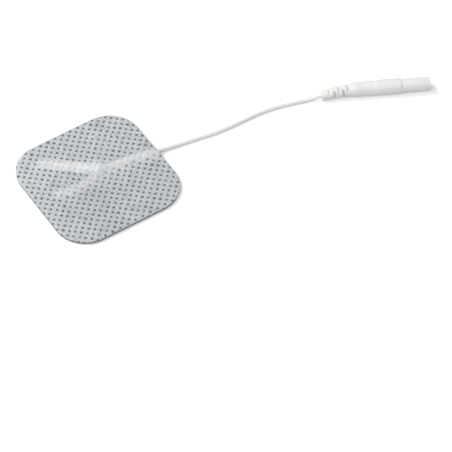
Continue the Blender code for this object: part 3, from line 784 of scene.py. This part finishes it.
def make_backing(look):
    """Nonwoven back: one cell for each bond point, cut to shape, tented over the lead and strands."""
    reach = math.ceil(PAD_SIDE / 2 * (1 / DOT_PITCH_X + 1 / DOT_PITCH_Y)) + 1
    dots = Dots(reach)
    side = 2 * reach + 1
    bpy.ops.mesh.primitive_grid_add(x_subdivisions=side, y_subdivisions=side, size=side)
    piece = bpy.context.object
    edit("DESELECT")
    bm = bmesh.from_edit_mesh(piece.data)
    for face in bm.faces:
        middle = dots.place(np.array([face.calc_center_median()[:2]]))
        face.select_set(bool(outside_by(middle)[0] > DOT_PITCH_X / 2))
    bmesh.update_edit_mesh(piece.data)
    bpy.ops.mesh.delete(type="FACE")
    bpy.ops.mesh.select_all(action="SELECT")
    bpy.ops.mesh.subdivide(number_cuts=CELL_CUTS)
    bpy.ops.object.mode_set(mode="OBJECT")
    spots = points_of(piece)
    spots[:, :2] = dots.warp(spots[:, :2])
    spots[:, 2] = 0.0
    move_points(piece, spots)
    die_cut(piece)
    upper = thicken(piece)

    spots = points_of(piece)
    plan = spots[:, :2]
    radius, dark = dots.radius(plan)
    lift, clear, hidden = ridge(plan)
    edge = smooth_step(1 + outside_by(plan) / CUT_EDGE_WIDTH)
    pit = 1 - smooth_step((radius - DOT_FLOOR) / (DOT_RIM - DOT_FLOOR))
    puff = PUFF * smooth_step((radius - DOT_RIM) / PUFF_REACH)
    wave = np.sin(plan[:, 0] / WAVE_REACH_X + 1) * np.sin(plan[:, 1] / WAVE_REACH_Y) + 1
    height = FABRIC_THICKNESS + puff - DOT_DEPTH * pit + WAVE_HEIGHT * wave - CUT_EDGE_DROP * edge
    spots[:, 2] = FABRIC_BOTTOM + lift + np.where(upper, height, 0.0)
    move_points(piece, spots)

    # Painted light: the cloth is painted paler towards the far side and the left side
    tone_and_painted_light = CLOTH_TONE
    for (added, start, end), along in ((FAR_PAINTED_LIGHT, plan[:, 1]), (LEFT_PAINTED_LIGHT, plan[:, 0])):
        tone_and_painted_light = tone_and_painted_light + added * smooth_step((along - start) / (end - start))
    paint(piece, "bond", 1 - smooth_step((radius - DOT_DARK_FROM) / (DOT_DARK_TO - DOT_DARK_FROM)))
    # clear: paleness where the back stands clear of the film, with painted light and shade on the ridge's
    # slopes
    paint(piece, "clear", clear)
    paint(piece, "dark", dark * (1 - hidden))
    paint(piece, "tone_and_painted_light", tone_and_painted_light)
    return finish_piece(piece, "nonwoven_back", look, CLOTH_SMOOTH_BELOW, "nonwoven", "fabric_backing")


def plain_sheet():
    """A flat sheet of the pad's outline, and which of its points are on the upper side."""
    size = PAD_SIDE + 2 * MM
    side = round(size / SHEET_CELL)
    bpy.ops.mesh.primitive_grid_add(x_subdivisions=side, y_subdivisions=side, size=size)
    piece = bpy.context.object
    die_cut(piece)
    return piece, thicken(piece)


def make_film(look):
    """Carbon film, with the groove that the lead presses into it."""
    piece, upper = plain_sheet()
    spots = points_of(piece)
    sink = LEAD_SINK * groove_share(spots[:, :2])
    spots[:, 2] = np.where(upper, FILM_TOP, FILM_TOP - FILM_THICKNESS) - sink
    move_points(piece, spots)
    return finish_piece(piece, "film", look, SMOOTH_BELOW, "carbon_film", "carbon_film")


def make_gel(look):
    """Hydrogel layer: level below, grooved above, with a soft edge that bulges a little."""
    piece = plain_sheet()[0]
    edit("DESELECT")
    bm = bmesh.from_edit_mesh(piece.data)
    for edge in bm.edges:
        a, b = edge.verts
        edge.select_set(abs(a.co.z - b.co.z) > ROUGH_WALL / 2)
    bmesh.update_edit_mesh(piece.data)
    bpy.ops.mesh.subdivide(number_cuts=GEL_WALL_CUTS)
    bpy.ops.object.mode_set(mode="OBJECT")
    spots = points_of(piece)
    plan = spots[:, :2]
    share = np.clip(1 + spots[:, 2] / ROUGH_WALL, 0, 1)
    top = GEL_TOP - LEAD_SINK * groove_share(plan)
    inside = np.clip(-outside_by(plan) / GEL_EDGE_ROUND, 0, 1)
    soft = GEL_EDGE_ROUND * (1 - np.sqrt(1 - (1 - inside) ** 2))
    low = np.where(share < 0.01, soft, 0.0)
    high = np.where(share > 0.99, top - soft, top)
    spots[:, 2] = low + (high - low) * share
    drawn_in = GEL_BULGE * (2 * share - 1) ** 4
    on_edge = outside_by(plan) > -0.01 * MM
    plan[on_edge] -= (from_core(plan)[1] * drawn_in[:, None])[on_edge]
    move_points(piece, spots)
    return finish_piece(piece, "gel", look, SMOOTH_BELOW, "hydrogel", "hydrogel_pad")


def rounded(outline):
    """Closed outline of (radius, station, rounding): each corner with a rounding becomes a small arc."""
    found = []
    for k, (radius, station, soft) in enumerate(outline):
        here = Vector((radius, station))
        if soft == 0:
            found.append(here)
            continue
        ends = []
        for other in (outline[k - 1], outline[(k + 1) % len(outline)]):
            span = Vector(other[:2]) - here
            ends.append(here + span.normalized() * min(soft, span.length * 0.49))
        for i in range(ROUNDING_STEPS + 1):
            t = i / ROUNDING_STEPS
            found.append(ends[0] * (1 - t) ** 2 + here * 2 * t * (1 - t) + ends[1] * t ** 2)
    return found


def turned(outline):
    """A ring pulled along its axis from station to station, widened at each, and joined to its start."""
    first = outline[0]
    bpy.ops.mesh.primitive_circle_add(vertices=TURNED_SIDES, radius=first[0], location=(0, 0, 0))
    piece = bpy.context.object
    edit()
    bpy.ops.transform.translate(value=(0, 0, first[1]))
    for (radius, station), (next_radius, next_station) in zip(outline, outline[1:]):
        pull = (0, 0, next_station - station)
        bpy.ops.mesh.extrude_region_move(TRANSFORM_OT_translate={"value": pull})
        scale = next_radius / radius
        bpy.ops.transform.resize(value=(scale, scale, 1), center_override=(0, 0, next_station))
    bpy.ops.mesh.select_all(action="DESELECT")
    bm = bmesh.from_edit_mesh(piece.data)
    for edge in bm.edges:
        if edge.is_boundary:
            edge.select_set(True)
    bmesh.update_edit_mesh(piece.data)
    bpy.ops.mesh.bridge_edge_loops()
    bpy.ops.mesh.select_all(action="SELECT")
    bpy.ops.mesh.normals_make_consistent(inside=False)
    bpy.ops.object.mode_set(mode="OBJECT")
    return piece


def place_on_connector(piece):
    deselect()
    piece.matrix_world = connector_matrix()
    piece.select_set(True)
    bpy.context.view_layer.objects.active = piece
    bpy.ops.object.transform_apply(location=True, rotation=True, scale=True)


def taper(station, ribs_end):
    """Radius of the strain relief at a station between its tail block and its shoulder."""
    start = TAIL_BLOCK_LENGTH + SLOT_WIDTH / 2
    stations = [TAIL_BLOCK_LENGTH, start, ribs_end]
    return float(np.interp(station, stations, [TAIL_RADIUS, RIBS_START_RADIUS, RIBS_END_RADIUS]))


def make_boot(look):
    """Soft overmould: slotted strain relief, shoulder, body and thicker collar, with softened edges."""
    ribs_end = TAIL_BLOCK_LENGTH + SLOT_PITCH * SLOT_COUNT
    shoulder_end = ribs_end + SHOULDER_LENGTH - SLOT_PITCH / 2
    collar_end = COLLAR_START + COLLAR_LENGTH
    groove = shoulder_end + 2 * GROOVE_WIDTH
    soft = SLOT_ROUND
    wire_bore = LEAD_DIAMETER / 2 + FIT_GAP
    outline = rounded([
        (wire_bore, 0.0, 0.0),
        (TAIL_RADIUS, 0.0, TAIL_ROUND),
        (TAIL_RADIUS, TAIL_BLOCK_LENGTH - soft, 0.0),
    ])[1:-1]
    slots = []
    for k in range(SLOT_COUNT):
        start = TAIL_BLOCK_LENGTH + k * SLOT_PITCH
        end = start + SLOT_WIDTH
        radius = taper((start + end) / 2, ribs_end)
        steps = 5
        walls = [(start - soft + soft * math.sin(t), radius - soft * (1 - math.cos(t)))
                 for t in (math.pi / 2 * i / steps for i in range(steps + 1))]
        foot = start + 0.02 * MM
        walls.append((foot, WEB_HALF + soft))
        walls.append((foot + 0.3 * soft, WEB_HALF + 0.3 * soft))
        walls.append((foot + soft, WEB_HALF))
        walls += [(start + end - s, limit) for s, limit in reversed(walls)]
        for station, limit in walls:
            outline.append(Vector((taper(station, ribs_end), station)))
            slots.append((station, k % 2, limit))
    outline += rounded([
        (RIBS_END_RADIUS, ribs_end - 0.7 * MM, 0.0),
        (RIBS_END_RADIUS + 0.02 * MM, ribs_end - 0.5 * MM, 0.1 * MM),
        (SHOULDER_RADIUS + 0.02 * MM, (ribs_end + shoulder_end) / 2, 0.5 * MM),
        (BODY_RADIUS, shoulder_end, 0.4 * MM),
        (BODY_RADIUS, groove - 1.6 * GROOVE_WIDTH, GROOVE_ROUND),
        (BODY_RADIUS - GROOVE_DEPTH, groove - 1.2 * GROOVE_WIDTH, GROOVE_ROUND),
        (BODY_RADIUS + GROOVE_LIP, groove, GROOVE_ROUND),
        (BODY_RADIUS + GROOVE_LIP, groove + 0.5 * GROOVE_WIDTH, GROOVE_ROUND),
        (BODY_RADIUS + 0.03 * MM, groove + 1.1 * GROOVE_WIDTH, GROOVE_ROUND),
        (BODY_END_RADIUS, COLLAR_START - 0.18 * MM, COLLAR_ROUND),
        (COLLAR_RADIUS - 0.02 * MM, COLLAR_START + 0.30 * MM, COLLAR_ROUND),
        (COLLAR_RADIUS, COLLAR_START + 0.8 * MM, COLLAR_ROUND),
        (COLLAR_RADIUS, collar_end, COLLAR_ROUND),
        (SPIGOT_RADIUS + FIT_GAP, collar_end, 0.0),
    ])
    crimp_bore = CRIMP_RADIUS + FIT_GAP
    spigot_seat = SPIGOT_START - FIT_GAP
    bores = [(SPIGOT_RADIUS + FIT_GAP, spigot_seat), (crimp_bore, spigot_seat)]
    bores.append((crimp_bore, LEAD_END_STATION))
    bores += [(wire_bore, station) for station in np.linspace(LEAD_END_STATION, 0.0, 15)]
    outline += [Vector(p) for p in bores]
    piece = turned(outline)
    spots = points_of(piece)
    skin = np.hypot(spots[:, 0], spots[:, 1]) > WEB_HALF
    for station, axis, limit in slots:
        ring = (np.abs(spots[:, 2] - station) < 1e-7) & skin
        spots[ring, axis] = np.clip(spots[ring, axis], -limit, limit)
    move_points(piece, flexed(spots))
    place_on_connector(piece)
    return finish_piece(piece, "boot", look, SMOOTH_BELOW, "boot_plastic", "strain_relief_boot")


def make_housing(look):
    """Hard nose with its spigot, and the mouth with its countersunk edge."""
    collar_end = COLLAR_START + COLLAR_LENGTH + FIT_GAP
    contact_bore = CONTACT_RADIUS + FIT_GAP
    outline = rounded([
        (contact_bore, SPIGOT_START, 0.0),
        (SPIGOT_RADIUS, SPIGOT_START, 0.0),
        (SPIGOT_RADIUS, collar_end, 0.0),
        (NOSE_RADIUS, collar_end, 0.08 * MM),
        (NOSE_RADIUS, CONNECTOR_LENGTH, 0.35 * MM),
        (MOUTH_RADIUS + 0.05 * MM, CONNECTOR_LENGTH, 0.25 * MM),
        (MOUTH_RADIUS, CONNECTOR_LENGTH - MOUTH_LIP, 0.0),
        (contact_bore, CONNECTOR_LENGTH - MOUTH_LIP, 0.0),
    ])
    piece = turned(outline)
    place_on_connector(piece)
    return finish_piece(piece, "housing", look, SMOOTH_BELOW, "housing_plastic", "socket_housing")


def make_table():
    """White table that keeps the object's shadow; glossy and see-through surfaces see it white too."""
    bpy.ops.mesh.primitive_plane_add(size=6.0, location=(0, 0, 0))
    table = bpy.context.object
    table.name = "table"
    look = Look("table", Roughness=1.0, Specular_IOR_Level=0.0, Emission_Strength=1.0)
    path = {name: look.node("ShaderNodeLightPath", output=name)
            for name in ("Is Camera Ray", "Is Glossy Ray", "Is Transmission Ray")}
    seen = path["Is Camera Ray"].largest(path["Is Glossy Ray"]).largest(path["Is Transmission Ray"])
    look.set("Base Color", look.blend(seen, grey(TABLE_BOUNCE), grey(1.0)))
    look.set("Emission Color", look.blend(seen, grey(0.0), grey(TABLE_GLOW)))
    table.data.materials.append(look.material)
    deselect()


def make_world():
    """Even pale surroundings, white where they are looked at or mirrored."""
    world = bpy.data.worlds.new("surroundings")
    bpy.context.scene.world = world
    world.use_nodes = True
    tree = world.node_tree
    tree.nodes.clear()
    rays = tree.nodes.new("ShaderNodeLightPath")
    seen = rays.outputs["Is Camera Ray"]
    for name in ("Is Glossy Ray", "Is Transmission Ray"):
        either = tree.nodes.new("ShaderNodeMath")
        either.operation = "MAXIMUM"
        tree.links.new(seen, either.inputs[0])
        tree.links.new(rays.outputs[name], either.inputs[1])
        seen = either.outputs[0]
    ambient = tree.nodes.new("ShaderNodeBackground")
    ambient.inputs["Color"].default_value = (1.0, 0.995, 0.99, 1.0)
    ambient.inputs["Strength"].default_value = AMBIENT_LEVEL
    white = tree.nodes.new("ShaderNodeBackground")
    white.inputs["Color"].default_value = (1, 1, 1, 1)
    white.inputs["Strength"].default_value = 1.0
    choice = tree.nodes.new("ShaderNodeMixShader")
    out = tree.nodes.new("ShaderNodeOutputWorld")
    tree.links.new(seen, choice.inputs[0])
    tree.links.new(ambient.outputs[0], choice.inputs[1])
    tree.links.new(white.outputs[0], choice.inputs[2])
    tree.links.new(choice.outputs[0], out.inputs["Surface"])


def make_lamp(name, level, turn, elevation, spread):
    """A broad sun lamp, whose level is the share of white that it gives on a level face."""
    data = bpy.data.lights.new(name, "SUN")
    data.energy = level * math.pi / math.sin(elevation)
    data.angle = spread
    lamp = bpy.data.objects.new(name, data)
    toward = Vector((math.cos(turn) * math.cos(elevation), math.sin(turn) * math.cos(elevation),
                     math.sin(elevation)))
    lamp.rotation_mode = "QUATERNION"
    lamp.rotation_quaternion = toward.to_track_quat("Z", "Y")
    lamp.location = toward
    bpy.context.scene.collection.objects.link(lamp)


def refinish(node, look):
    """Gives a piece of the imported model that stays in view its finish."""
    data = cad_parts[node].data
    data.materials.clear()
    data.materials.append(look)


def main():
    bpy.context.scene.view_settings.view_transform = "Standard"
    deselect()
    make_camera()
    jacket = plastic_look("lead_jacket", JACKET_WHITE, 0.42, 0.10 * MM, 0.10)
    soft_plastic = plastic_look("boot_plastic", BOOT_WHITE, 0.46, 0.14 * MM, 0.08)
    hard_plastic = plastic_look("housing_plastic", HOUSING_WHITE, 0.30, 0.18 * MM, 0.08)
    nickel = metal_look("nickel_plate", NICKEL, 0.18, (0.6 * MM, 0.05 * MM, 0.05 * MM))
    tinsel = metal_look("tinned_strand", TINNED_COPPER, 0.30, (1.2 * MM, 0.06 * MM, 0.06 * MM))

    lead = make_lead(jacket)
    boot = make_boot(soft_plastic)
    housing = make_housing(hard_plastic)
    film = make_film(film_look())
    make_gel(gel_look())
    back = make_backing(nonwoven_look())
    refinish("contact_socket", nickel)
    for node in ("long_strands", "short_strands", "crimped_wire"):
        refinish(node, tinsel)
    make_table()
    make_world()
    make_lamp("key", *KEY)
    make_lamp("fill", *FILL)


main()
